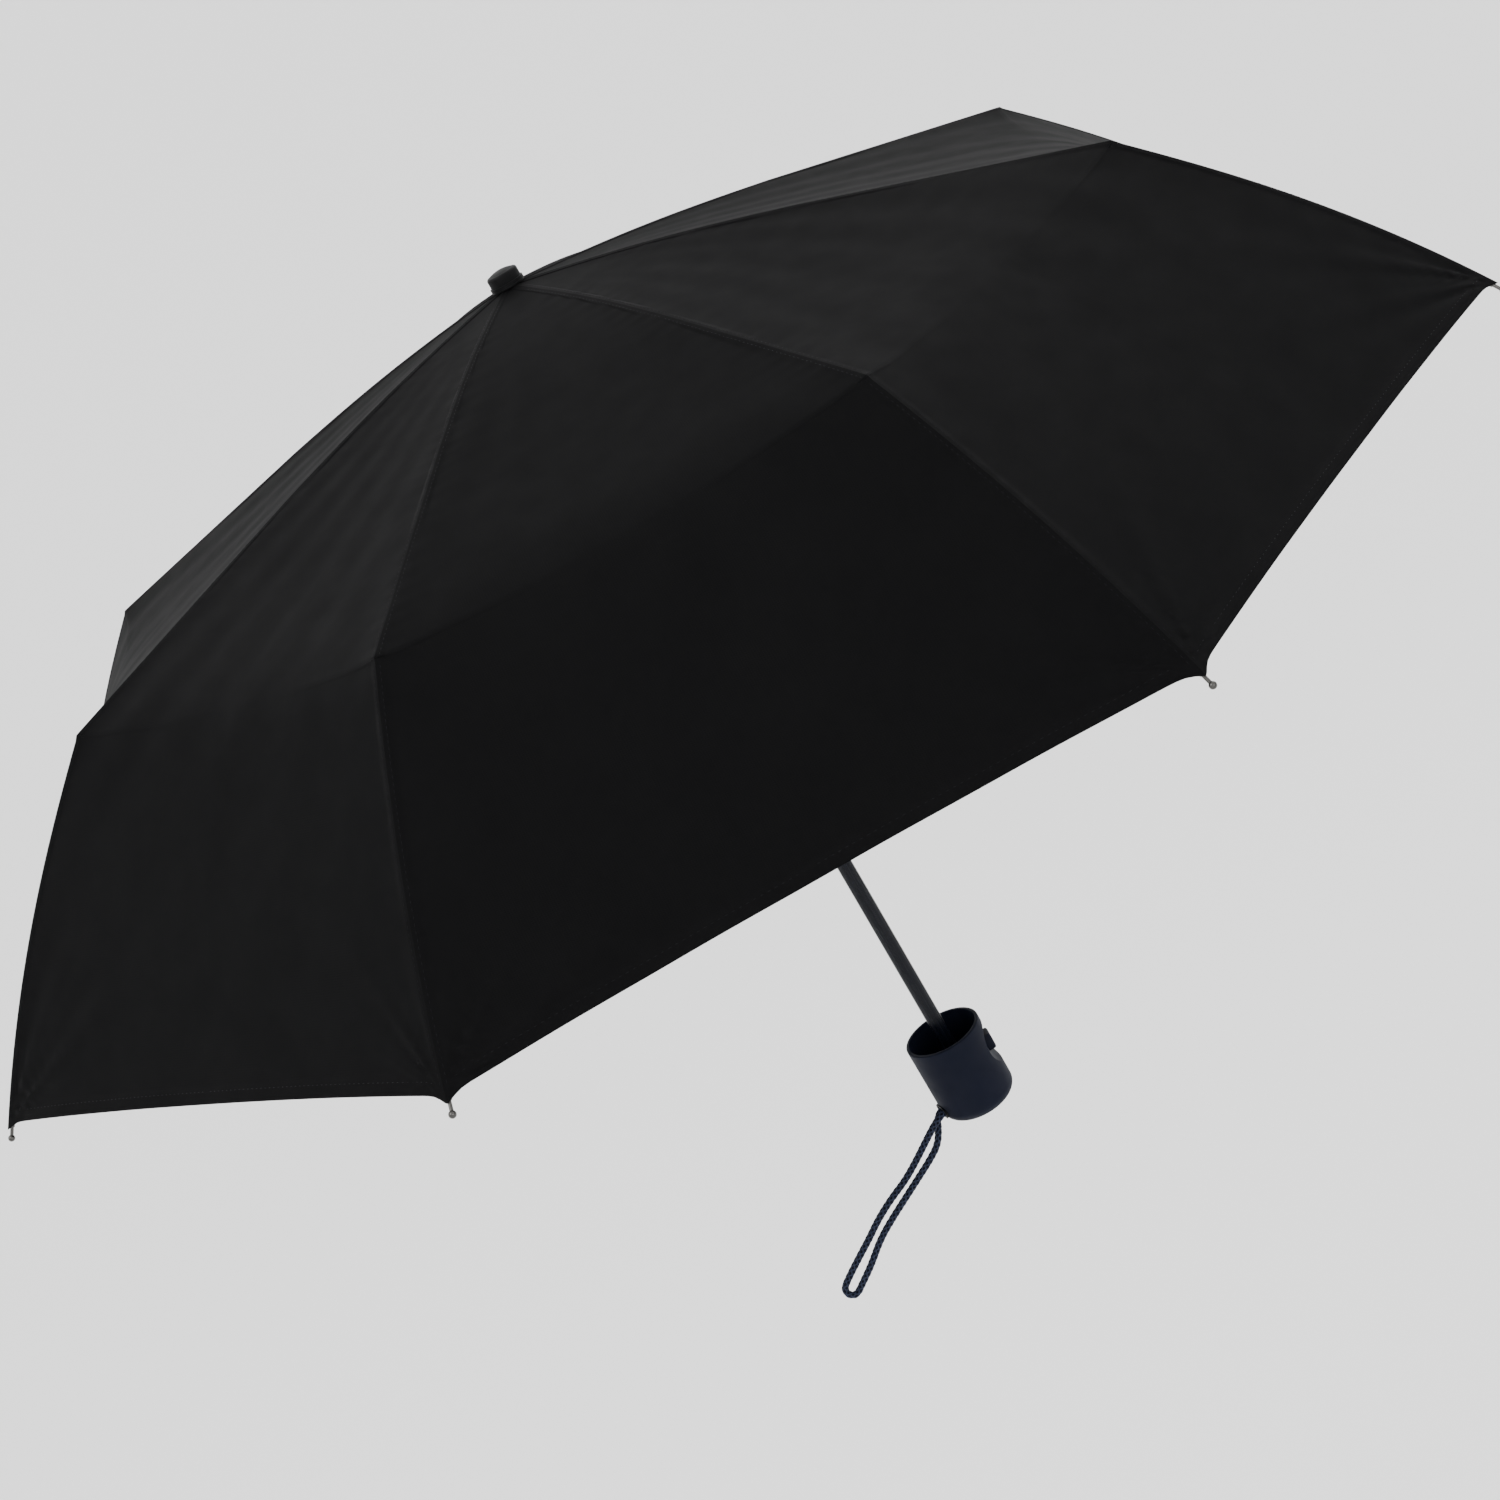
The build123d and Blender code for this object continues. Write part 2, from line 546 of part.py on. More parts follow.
# ---- build ----------------------------------------------------------------------------------
def main():
    single = {
        "handle_shell": handle_shell(),
        "handle_core": handle_core(),
        "strap_eyelet": strap_eyelet(),
        "wrist_strap": wrist_strap(),
        "push_button": push_button(),
        "button_spring": button_spring(),
        "outer_tube": outer_tube(),
        "middle_tube": holed_tube(TUBE_MIDDLE_R, MIDDLE_TUBE_Z, MIDDLE_CATCH),
        "middle_tube_catch": catch_block(TUBE_MIDDLE_R, MIDDLE_CATCH, TUBE_OUTER_R + 0.1),
        "top_tube": holed_tube(TUBE_TOP_R, TOP_TUBE_Z, TOP_CATCH, RUNNER_CATCH),
        "top_tube_catch": catch_block(TUBE_TOP_R, TOP_CATCH, TUBE_MIDDLE_R + 0.1),
        "runner_catch": catch_block(TUBE_TOP_R, RUNNER_CATCH, SLEEVE_BORE + 0.7),
        "opening_spring": opening_spring(),
        "top_notch": top_notch(),
        "notch_wire": ring_wire(NOTCH_Z, PIN_R),
        "runner": runner(),
        "runner_wire": ring_wire(RUNNER_Z, PIN_R, RUNNER_SLOT_W + 0.4),
        "canopy_washer": canopy_washer(),
        "top_cap": top_cap(),
        "canopy": canopy(),
    }
    for name, shape in single.items():
        save(shape, name)

    members = {
        "top_rib": (Compound(children=top_rib()), NOTCH, TOP_SLOPE),
        "mid_rib": (Compound(children=mid_rib()), KNEE_1, MID_SLOPE),
        "outer_rib": (outer_rib(), KNEE_2, OUTER_SLOPE),
        "tip": (tip(), KNEE_2, OUTER_SLOPE),
        "stretcher": (stretcher(), PIVOT, 180.0 - STRETCHER_SLOPE),
    }
    for k in range(RIBS):
        for name, (member, start, slope) in members.items():
            save(in_rib_plane(member, k, start[0], start[1], slope), f"{name}_{k + 1}")

    print("knee 1", KNEE_1, "knee 2", KNEE_2, "pivot", PIVOT, "runner", RUNNER_Z)
    print("outer rib", OUTER_RIB, OUTER_SLOPE, "stretcher", STRETCHER)
    print("tube travel", TUBE_TRAVEL, "runner travel", RUNNER_TRAVEL)


if __name__ == "__main__":
    main()
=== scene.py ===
import json
import math

import bpy
import numpy as np
from mathutils import Matrix, Vector


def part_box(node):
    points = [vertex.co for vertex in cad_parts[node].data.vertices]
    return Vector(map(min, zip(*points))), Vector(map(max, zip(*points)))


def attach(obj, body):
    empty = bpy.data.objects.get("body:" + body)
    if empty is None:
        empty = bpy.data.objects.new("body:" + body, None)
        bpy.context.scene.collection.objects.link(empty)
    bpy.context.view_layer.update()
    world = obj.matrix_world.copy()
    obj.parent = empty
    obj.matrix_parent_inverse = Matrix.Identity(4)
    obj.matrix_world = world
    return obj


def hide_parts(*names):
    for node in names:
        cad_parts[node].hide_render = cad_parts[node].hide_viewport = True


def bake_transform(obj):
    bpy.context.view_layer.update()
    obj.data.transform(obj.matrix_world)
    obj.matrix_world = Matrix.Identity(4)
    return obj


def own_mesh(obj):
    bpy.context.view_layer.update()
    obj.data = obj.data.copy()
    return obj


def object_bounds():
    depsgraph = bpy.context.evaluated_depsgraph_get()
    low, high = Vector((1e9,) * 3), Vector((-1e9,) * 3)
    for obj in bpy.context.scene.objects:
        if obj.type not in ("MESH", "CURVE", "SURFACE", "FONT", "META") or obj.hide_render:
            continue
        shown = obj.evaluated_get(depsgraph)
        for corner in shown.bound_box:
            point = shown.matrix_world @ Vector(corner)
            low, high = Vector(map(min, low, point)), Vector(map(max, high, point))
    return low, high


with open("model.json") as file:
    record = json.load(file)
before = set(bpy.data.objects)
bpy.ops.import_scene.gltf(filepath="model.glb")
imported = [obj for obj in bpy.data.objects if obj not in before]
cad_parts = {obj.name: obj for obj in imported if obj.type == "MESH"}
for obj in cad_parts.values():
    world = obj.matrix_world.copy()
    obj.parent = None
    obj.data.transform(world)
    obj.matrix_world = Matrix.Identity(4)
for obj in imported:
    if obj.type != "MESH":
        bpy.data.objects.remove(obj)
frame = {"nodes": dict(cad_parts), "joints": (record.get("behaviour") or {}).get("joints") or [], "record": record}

cad_low, cad_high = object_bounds()

# ---- what the frame says about the ribs -------------------------------------------------------
JOINTS = {j["name"]: j for j in frame["joints"]}
RIBS = 8
HALF = math.pi / RIBS


def pivot(name):
    return Vector(JOINTS[name]["pos_m"])


def level(point):
    """A point's distance from the shaft's axis and its height."""
    return np.array([math.hypot(point[0], point[1]), point[2]])


def azimuth(k):
    knee = pivot(f"outer_rib_{k % RIBS + 1}_hinge")
    return math.atan2(knee.y, knee.x)


NOTCH = level(pivot("top_rib_1_hinge"))
KNEE_1 = level(pivot("mid_rib_1_hinge"))
KNEE_2 = level(pivot("outer_rib_1_hinge"))
TIP_LOW, TIP_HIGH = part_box("tip_1")
BALL_R = 0.0018              # radius of the ball at a tip
TIP = np.array([math.hypot(TIP_HIGH[0] - BALL_R, TIP_LOW[1] + BALL_R), TIP_LOW[2] + BALL_R])
CAP_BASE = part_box("canopy_washer")[0][2]

# ---- cloth sizes, metres ----------------------------------------------------------------------
CLOTH = 0.0003               # thickness
CROWN_R = 0.0052             # hole at the crown, under the cap
COLLAR_R = 0.0105            # the cloth is level out to here
CROWN_DROP = 0.0007          # the cloth under the washer
TOP_SWELL = 0.0022           # how far the top panel stands above a straight line
KNEE_1_LIFT = (0.0003, 0.0018)       # cloth out from and above the knee pins
KNEE_2_LIFT = (0.0006, 0.0058)
WIRE_LIFT = 0.0018           # cloth above the bowed wire's centre
WIRE_LIFT_MORE = 0.0012      # and up to this much more towards the knee
WIRE_BOW = 0.0068
RIB_STEPS = 160              # points along each of the three parts of a rib line
HEM_SHORT = 0.0042           # the hem stops this far short of the ball
HEM_CURVE = 0.0030           # how far the hem is drawn in at mid-panel
HEM_FLARE = 0.0034           # how far the corner at a tip stands out from the hem
FLARE_L = 0.0050             # length over which that corner fades
SAG, HEM_SAG = 0.0052, 0.0016        # the cloth's sag at mid-panel, and more of it at the hem
SMOOTH = 0.026               # the knees soften over this length away from the ribs
SOFTENED = 0.9               # the cloth at mid-panel takes this share of that
SEAM_W, SEAM_UP, SEAM_EDGE = 0.0027, 0.00040, 0.0009
HEM_W, HEM_UP, HEM_EDGE = 0.0075, 0.00028, 0.0008
STITCH_L, STITCH_W, STITCH_GAP = 0.0021, 0.00034, 0.0034
STITCH_UP = 0.45             # a stitch's height, as a share of its width
SEAM_ROW, HEM_ROW = 0.72, 0.8        # where the stitches run, as shares of SEAM_W and HEM_W
SEAM_CROWDED = 0.4           # no seam stitches where they would be this far across a half-panel
SEAM_STOP = 0.004            # the seam's stitches stop this far short of the hem
# small folds in the cloth: their height, number or length, and the distance they fade over
FAN_H, FAN_FOLDS, FAN_FADE = 0.00055, (13, 22), 0.075
PUCKER_H, PUCKER_L, PUCKER_FADE = 0.00016, 0.013, 0.007
SLACK_H, SLACK_ALONG, SLACK_ACROSS = 0.00045, 31, 7.8
KNEE_FOLD_H, KNEE_FOLD_L, KNEE_FOLD_FADE = 0.00045, 0.0062, 0.04
BRAID_STRANDS, BRAID_PITCH, BRAID_DEPTH = 8, 0.0150, 0.00042
CROWN_S = 0.0225             # the crown ends at this distance along the cloth
PATCH_W, PATCH_L = 0.0105, 0.0080    # the patch under a knee: width, and half its length
PATCH_UNDER = 1.6            # its depth below the cloth, in thicknesses


# ---- materials --------------------------------------------------------------------------------
NOISE_LOW, NOISE_HIGH = 0.3, 0.7     # the part of a noise's range that is used


def principled(name, colour, roughness, **sockets):
    mat = bpy.data.materials.new(name)
    mat.use_nodes = True
    shader = mat.node_tree.nodes["Principled BSDF"]
    shader.inputs["Base Color"].default_value = (*colour, 1)
    shader.inputs["Roughness"].default_value = roughness
    for socket, value in sockets.items():
        shader.inputs[socket.replace("_", " ")].default_value = value
    return mat, mat.node_tree, shader


def noise(tree, scale, detail=3.0, source="Object", stretch=(1, 1, 1)):
    """A noise texture in the model's own metres."""
    place = tree.nodes.new("ShaderNodeTexCoord")
    mapping = tree.nodes.new("ShaderNodeMapping")
    mapping.inputs["Scale"].default_value = stretch
    texture = tree.nodes.new("ShaderNodeTexNoise")
    texture.inputs["Scale"].default_value = scale
    texture.inputs["Detail"].default_value = detail
    tree.links.new(place.outputs[source], mapping.inputs["Vector"])
    tree.links.new(mapping.outputs["Vector"], texture.inputs["Vector"])
    return texture.outputs["Fac"]


def vary(tree, shader, fac, socket, low, high):
    """Let a noise move a socket between two values, which may be colours."""
    if isinstance(low, tuple):
        mix = tree.nodes.new("ShaderNodeValToRGB")
        first, last = mix.color_ramp.elements
        first.position, last.position = NOISE_LOW, NOISE_HIGH
        first.color, last.color = (*low, 1), (*high, 1)
        tree.links.new(fac, mix.inputs["Fac"])
        tree.links.new(mix.outputs["Color"], shader.inputs[socket])
        return
    mix = tree.nodes.new("ShaderNodeMapRange")
    mix.inputs["From Min"].default_value = NOISE_LOW
    mix.inputs["From Max"].default_value = NOISE_HIGH
    mix.inputs["To Min"].default_value = low
    mix.inputs["To Max"].default_value = high
    tree.links.new(fac, mix.inputs["Value"])
    tree.links.new(mix.outputs["Result"], shader.inputs[socket])


def bump(tree, shader, height, strength, distance):
    node = tree.nodes.new("ShaderNodeBump")
    node.inputs["Strength"].default_value = strength
    node.inputs["Distance"].default_value = distance
    tree.links.new(height, node.inputs["Height"])
    tree.links.new(node.outputs["Normal"], shader.inputs["Normal"])


def wave(tree, axis, scale):
    """Threads in the cloth's own map, which is laid out in metres."""
    place = tree.nodes.new("ShaderNodeTexCoord")
    texture = tree.nodes.new("ShaderNodeTexWave")
    texture.bands_direction = axis
    texture.inputs["Scale"].default_value = scale
    tree.links.new(place.outputs["UV"], texture.inputs["Vector"])
    return texture.outputs["Fac"]


def maths(tree, operation, *values):
    """A Math node; each value is a plain number or an output to link."""
    node = tree.nodes.new("ShaderNodeMath")
    node.operation = operation
    for socket, value in zip(node.inputs, values):
        if isinstance(value, (int, float)):
            socket.default_value = value
        else:
            tree.links.new(value, socket)
    return node.outputs["Value"]


def weave(tree, scale):
    return maths(tree, "MAXIMUM", wave(tree, "X", scale), wave(tree, "Y", scale))


def pongee():
    mat, tree, shader = principled("pongee", (0.0026, 0.0026, 0.0028), 0.72,
                                   Specular_IOR_Level=0.03)
    vary(tree, shader, noise(tree, 14, 4), "Base Color", (0.0024, 0.0024, 0.0026),
         (0.0028, 0.0028, 0.0030))
    vary(tree, shader, noise(tree, 60, 3), "Roughness", 0.70, 0.76)
    bump(tree, shader, weave(tree, 260), 0.25, 0.00006)
    return mat


def thread():
    mat, tree, shader = principled("thread", (0.005, 0.005, 0.006), 0.55,
                                   Specular_IOR_Level=0.08)
    bump(tree, shader, noise(tree, 5200, 2), 0.4, 0.00008)
    return mat


def soft_touch():
    mat, tree, shader = principled("soft_touch", (0.0022, 0.0034, 0.0100), 0.60,
                                   Specular_IOR_Level=0.09)
    vary(tree, shader, noise(tree, 34, 4), "Base Color", (0.0018, 0.0029, 0.0088),
         (0.0027, 0.0040, 0.0112))
    vary(tree, shader, noise(tree, 90, 5), "Roughness", 0.55, 0.70)
    bump(tree, shader, noise(tree, 3800, 2), 0.30, 0.00005)
    return mat


def moulded(name, colour, roughness, grain):
    light = tuple(1.25 * c for c in colour)
    mat, tree, shader = principled(name, colour, roughness, Specular_IOR_Level=0.08)
    vary(tree, shader, noise(tree, 70, 4), "Base Color", colour, light)
    vary(tree, shader, noise(tree, 160, 4), "Roughness", roughness - 0.06, roughness + 0.08)
    bump(tree, shader, noise(tree, grain, 2), 0.2, 0.00004)
    return mat


def lacquered(name, colour, roughness):
    """Lacquer over drawn metal: fine marks run along the shaft or rib."""
    mat, tree, shader = principled(name, colour, roughness, Specular_IOR_Level=0.14,
                                   Coat_Weight=0.02, Coat_Roughness=0.18)
    vary(tree, shader, noise(tree, 260, 4, stretch=(1, 1, 0.03)), "Roughness",
         roughness - 0.08, roughness + 0.10)
    bump(tree, shader, noise(tree, 900, 3, stretch=(1, 1, 0.02)), 0.18, 0.00003)
    return mat


def metal(name, colour, roughness):
    mat, tree, shader = principled(name, colour, roughness, Metallic=1.0)
    vary(tree, shader, noise(tree, 420, 4), "Roughness", roughness * 0.7, roughness * 1.5)
    bump(tree, shader, noise(tree, 2600, 2), 0.12, 0.00002)
    return mat


def strand_highlight_and_shade(tree):
    """High where a strand of the braid lies on top, from the cord's own map (turns, pitches); it paints a
    highlight on the strands' tops and shade in the grooves between them.
    """
    place = tree.nodes.new("ShaderNodeTexCoord")
    split = tree.nodes.new("ShaderNodeSeparateXYZ")
    tree.links.new(place.outputs["UV"], split.inputs["Vector"])
    strands = []
    for way in (1.0, -1.0):
        wound = maths(tree, "MULTIPLY_ADD", split.outputs["Y"], way, split.outputs["X"])
        angle = maths(tree, "MULTIPLY", wound, math.pi * BRAID_STRANDS)
        strands.append(maths(tree, "COSINE", angle))
    return maths(tree, "MAXIMUM", *strands)


def braid_cloth():
    mat, tree, shader = principled("braid", (0.0060, 0.0080, 0.0190), 0.66,
                                   Specular_IOR_Level=0.10)
    # The strands' tops are painted lighter and the grooves between them darker: painted highlight and painted
    # shade over the braid's own dark blue.
    vary(tree, shader, strand_highlight_and_shade(tree), "Base Color", (0.0014, 0.0020, 0.0060),
         (0.0170, 0.0220, 0.0420))
    bump(tree, shader, noise(tree, 4200, 3), 0.5, 0.00010)
    return mat


PONGEE, THREAD, BRAID = pongee(), thread(), braid_cloth()
FINISHES = {
    "shell_soft_touch": soft_touch(),
    "button_plastic": moulded("button_plastic", (0.0028, 0.0038, 0.0090), 0.50, 2600),
    "black_plastic": moulded("black_plastic", (0.0024, 0.0024, 0.0027), 0.52, 3000),
    "black_steel": lacquered("black_steel", (0.0018, 0.0024, 0.0052), 0.26),
    "rib_steel": lacquered("rib_steel", (0.0060, 0.0060, 0.0066), 0.38),
    "plated_steel": metal("plated_steel", (0.40, 0.40, 0.42), 0.28),
    "nickel": metal("nickel", (0.07, 0.068, 0.065), 0.14),
    "canopy_cloth": PONGEE,
    "braided_cord": BRAID,
}


def finish_cad_nodes():
    slots = {s["node"]: s["material_slot"] for s in frame["record"]["subparts"]}
    for name, obj in frame["nodes"].items():
        mat = FINISHES[slots[name]]
        if not obj.material_slots:
            obj.data.materials.append(mat)
        for place in obj.material_slots:
            place.material = mat


# ---- camera -----------------------------------------------------------------------------------
CAMERA_AT = Vector((0.0404, -1.3891, 0.7604))
CAMERA_AIM = Vector((-0.0140, 0.0, 0.2727))
CAMERA_ROLL = math.radians(30.33)
LENS_MM, SENSOR_MM = 61.03, 36.0


def make_camera():
    data = bpy.data.cameras.new("camera")
    data.lens, data.sensor_width = LENS_MM, SENSOR_MM
    data.clip_start, data.clip_end = 0.01, 100
    camera = bpy.data.objects.new("camera", data)
    bpy.context.collection.objects.link(camera)
    look = (CAMERA_AIM - CAMERA_AT).to_track_quat("-Z", "Y").to_matrix()
    turn = look @ Matrix.Rotation(-CAMERA_ROLL, 3, "Z")
    camera.matrix_world = Matrix.Translation(CAMERA_AT) @ turn.to_4x4()
    bpy.context.scene.camera = camera


# ---- wrist strap ------------------------------------------------------------------------------
CORD_D = 0.0042
STRAP_ROUTE = [
    (-0.0214, -0.0077, 0.0100), (-0.0284, -0.0099, 0.0088), (-0.0390, -0.0116, 0.0022),
    (-0.0525, -0.0137, -0.0070), (-0.0645, -0.0158, -0.0141), (-0.0773, -0.0182, -0.0190),
    (-0.0904, -0.0208, -0.0256), (-0.1014, -0.0236, -0.0328), (-0.1125, -0.0260, -0.0394),
    (-0.1238, -0.0286, -0.0465), (-0.1290, -0.0301, -0.0502), (-0.1296, -0.0313, -0.0536),
    (-0.1274, -0.0322, -0.0564), (-0.1238, -0.0323, -0.0570), (-0.1183, -0.0308, -0.0534),
    (-0.1076, -0.0284, -0.0462), (-0.0954, -0.0247, -0.0362), (-0.0820, -0.0215, -0.0290),
    (-0.0686, -0.0186, -0.0226), (-0.0566, -0.0160, -0.0168), (-0.0460, -0.0136, -0.0118),
    (-0.0366, -0.0106, -0.0066), (-0.0312, -0.0072, 0.0008), (-0.0284, -0.0046, 0.0076),
    (-0.0225, -0.0031, 0.0100),
]
CORD_SIDES, CORD_STEP = 40, 0.00045
STRAND_UNEVEN = 0.25         # one set stands out by this share more and less, by turns
BRAID_SINK = 0.75            # the cord's radius is reached at this height of the pattern


def nurbs_line(points):
    """The smooth line of a route, read from its own NURBS spline."""
    curve = bpy.data.curves.new("route", "CURVE")
    curve.dimensions = "3D"
    curve.resolution_u = 24
    spline = curve.splines.new("NURBS")
    spline.points.add(len(points) - 1)
    for place, point in zip(spline.points, points):
        place.co = (*point, 1)
    spline.order_u = 3
    spline.use_endpoint_u = True
    holder = bpy.data.objects.new("route", curve)
    mesh = bpy.data.meshes.new_from_object(holder)
    line = np.array([v.co for v in mesh.vertices])
    bpy.data.objects.remove(holder)
    bpy.data.meshes.remove(mesh)
    return line


def spaced(line, step):
    gaps = np.linalg.norm(np.diff(line, axis=0), axis=1)
    along = np.concatenate([[0], np.cumsum(gaps)])
    even = np.linspace(0, along[-1], int(along[-1] / step) + 1)
    return even, np.stack([np.interp(even, along, line[:, i]) for i in range(3)], axis=1)


def mesh_object(name, vertices, faces, materials, smooth=True):
    mesh = bpy.data.meshes.new(name)
    mesh.from_pydata([tuple(v) for v in vertices], [], faces)
    for mat in materials:
        mesh.materials.append(mat)
    mesh.polygons.foreach_set("use_smooth", [smooth] * len(mesh.polygons))
    obj = bpy.data.objects.new(name, mesh)
    bpy.context.collection.objects.link(obj)
    return obj


def braid_rings(along, line):
    """Two sets of strands wind opposite ways and stand proud by turns."""
    ahead = np.gradient(line, axis=0)
    ahead /= np.linalg.norm(ahead, axis=1)[:, None]
    side = np.cross(ahead[0], (0, 0, 1.0))
    a = np.arange(CORD_SIDES) * 2 * math.pi / CORD_SIDES
    in_set = BRAID_STRANDS / 2
    rings = []
    for s, centre, t in zip(along, line, ahead):
        side = side - t * np.dot(side, t)
        side /= np.linalg.norm(side)
        other = np.cross(t, side)
        lead = 2 * math.pi * s / BRAID_PITCH
        one, two = np.cos(in_set * (a + lead)), np.cos(in_set * (a - lead))
        over = np.maximum(one * (1 + STRAND_UNEVEN * np.sign(np.sin(in_set * a))), two)
        radius = CORD_D / 2 - BRAID_DEPTH * (BRAID_SINK - over)
        rings.append(centre + radius[:, None] * (np.cos(a)[:, None] * side
                                                 + np.sin(a)[:, None] * other))
    return rings


def tube_faces(count):
    """Quads between the rings, then a cap at each end."""
    faces = [(i * CORD_SIDES + j, i * CORD_SIDES + (j + 1) % CORD_SIDES,
              (i + 1) * CORD_SIDES + (j + 1) % CORD_SIDES, (i + 1) * CORD_SIDES + j)
             for i in range(count - 1) for j in range(CORD_SIDES)]
    faces.append(tuple(range(CORD_SIDES - 1, -1, -1)))
    faces.append(tuple(range((count - 1) * CORD_SIDES, count * CORD_SIDES)))
    return faces


def cord_map(mesh, faces, along):
    """A map of the cord in turns and pitches, for the braid's colour with its painted highlight and shade."""
    layer = mesh.uv_layers.new(name="cord")
    loops = np.array([v for face in faces for v in face])
    turn = loops % CORD_SIDES / CORD_SIDES
    for corner in range(0, 4 * (len(faces) - 2), 4):
        if turn[corner + 1] < turn[corner]:
            turn[corner + 1:corner + 3] += 1
    pitch = along[loops // CORD_SIDES] / BRAID_PITCH
    layer.data.foreach_set("uv", np.stack([turn, pitch], 1).ravel().astype(np.float32))


def make_strap():
    along, line = spaced(nurbs_line(STRAP_ROUTE), CORD_STEP)
    faces = tube_faces(len(line))
    strap = mesh_object("braided_strap", np.concatenate(braid_rings(along, line)), faces, [BRAID])
    cord_map(strap.data, faces, along)
    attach(strap, "handle")
    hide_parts("wrist_strap")


# ---- canopy -----------------------------------------------------------------------------------
def rib_line():
    """The cloth over a rib, as dense points (radius, height), and where its three parts end."""
    crown_z = CAP_BASE - CROWN_DROP
    knee_1 = KNEE_1 + KNEE_1_LIFT
    knee_2 = KNEE_2 + KNEE_2_LIFT
    points = [np.array([[CROWN_R, crown_z]])]
    share = np.linspace(0, 1, RIB_STEPS)[:, None]
    collar = np.array([COLLAR_R, crown_z])
    top = collar + share * (knee_1 - collar)
    top[:, 1] += TOP_SWELL * np.sin(math.pi * share[:, 0])
    points.append(top)
    points.append(knee_1 + share[1:] * (knee_2 - knee_1))
    chord = TIP - KNEE_2
    length = np.linalg.norm(chord)
    along = chord / length
    up = np.array([-along[1], along[0]])
    start = np.dot(knee_2 - KNEE_2, along)
    reach = start + share[1:] * (length - HEM_SHORT - start)
    bow = 4 * WIRE_BOW * (reach / length) * (1 - reach / length)
    near = 1 - share[1:]
    lift = WIRE_LIFT + bow + WIRE_LIFT_MORE * near
    lift += (np.dot(knee_2 - KNEE_2, up) - WIRE_LIFT - WIRE_LIFT_MORE) * near ** 6
    points.append(KNEE_2 + reach * along + lift * up)
    line = np.concatenate(points)
    arc = np.concatenate([[0], np.cumsum(np.linalg.norm(np.diff(line, axis=0), axis=1))])
    ends = (0.0, arc[RIB_STEPS], arc[2 * RIB_STEPS - 1], arc[-1])
    return arc, line, ends


ARC, LINE, ENDS = rib_line()
FINE = 0.001                 # step of the tables below
BEYOND = 0.1                 # they run on straight this far past both ends
KERNEL = 90                  # half width of the smoothing, in steps


def soft_line():
    """The same line with its knees softened, for the cloth away from the ribs."""
    even = np.arange(-BEYOND, ENDS[3] + BEYOND, FINE)
    slope_0 = (LINE[2] - LINE[1]) / (ARC[2] - ARC[1])
    slope_1 = (LINE[-1] - LINE[-2]) / (ARC[-1] - ARC[-2])
    flat = np.stack([np.interp(even, ARC, LINE[:, i]) for i in range(2)], axis=1)
    flat += np.minimum(even, 0)[:, None] * slope_0
    flat += np.maximum(even - ENDS[3], 0)[:, None] * slope_1
    kernel = np.exp(-0.5 * (np.arange(-KERNEL, KERNEL + 1) * FINE / SMOOTH) ** 2)
    kernel /= kernel.sum()
    wide = np.pad(flat, ((KERNEL, KERNEL), (0, 0)), mode="edge")
    wide[:KERNEL] += (np.arange(-KERNEL, 0) * FINE)[:, None] * slope_0
    wide[-KERNEL:] += (np.arange(1, KERNEL + 1) * FINE)[:, None] * slope_1
    soft = np.stack([np.convolve(wide[:, i], kernel, "valid") for i in range(2)], axis=1)
    return even, flat, soft


EVEN, FLAT, SOFT = soft_line()


def sampled(table, s):
    return np.stack([np.interp(s, EVEN, table[:, i]) for i in range(2)], axis=-1)


def smoothstep(x):
    x = np.clip(x, 0, 1)
    return x * x * (3 - 2 * x)


def hem_at(u):
    """Arc length of the hem across a panel, u from -1 on one rib to 1 on the next."""
    off = np.maximum(1 - np.abs(u), 0)
    flare = 1 - np.exp(-((off * TIP[0] * math.sin(HALF) / FLARE_L) ** 1.6))
    return ENDS[3] - HEM_FLARE * flare - HEM_CURVE * (1 - np.abs(u) ** 2.3)


def ripple(u, s, side, seed):
    """Small folds that fan out from the tips, puckers along the seams, and slack at mid-panel."""
    down = hem_at(u) - s
    reach = np.hypot(side, down) + 1e-6
    angle = np.arctan2(side, down)
    sign = np.where(u < 0, 1.0, 2.3)
    fan = np.sin(FAN_FOLDS[0] * angle + 1.7 * seed * sign)
    fan += 0.6 * np.sin(FAN_FOLDS[1] * angle + 2.9 * seed + sign)
    out = FAN_H * fan * np.exp(-reach / FAN_FADE) * smoothstep(reach / 0.02)
    pucker = np.sin(2 * math.pi * s / PUCKER_L + 2.2 * np.sin(s * 47 + seed + sign))
    out += PUCKER_H * pucker * np.exp(-side / PUCKER_FADE) * smoothstep((s - 0.03) / 0.04)
    slack = np.sin(SLACK_ALONG * s + 7 * u + seed)
    slack *= np.sin(SLACK_ACROSS * (u + 0.3 * np.sin(seed)))
    out += SLACK_H * slack * smoothstep((s - 0.04) / 0.16)
    knee = np.exp(-((s - ENDS[2]) / 0.03) ** 2) * np.exp(-side / KNEE_FOLD_FADE)
    out += KNEE_FOLD_H * knee * np.sin(side / KNEE_FOLD_L + seed)
    return out * smoothstep(side / 0.005)


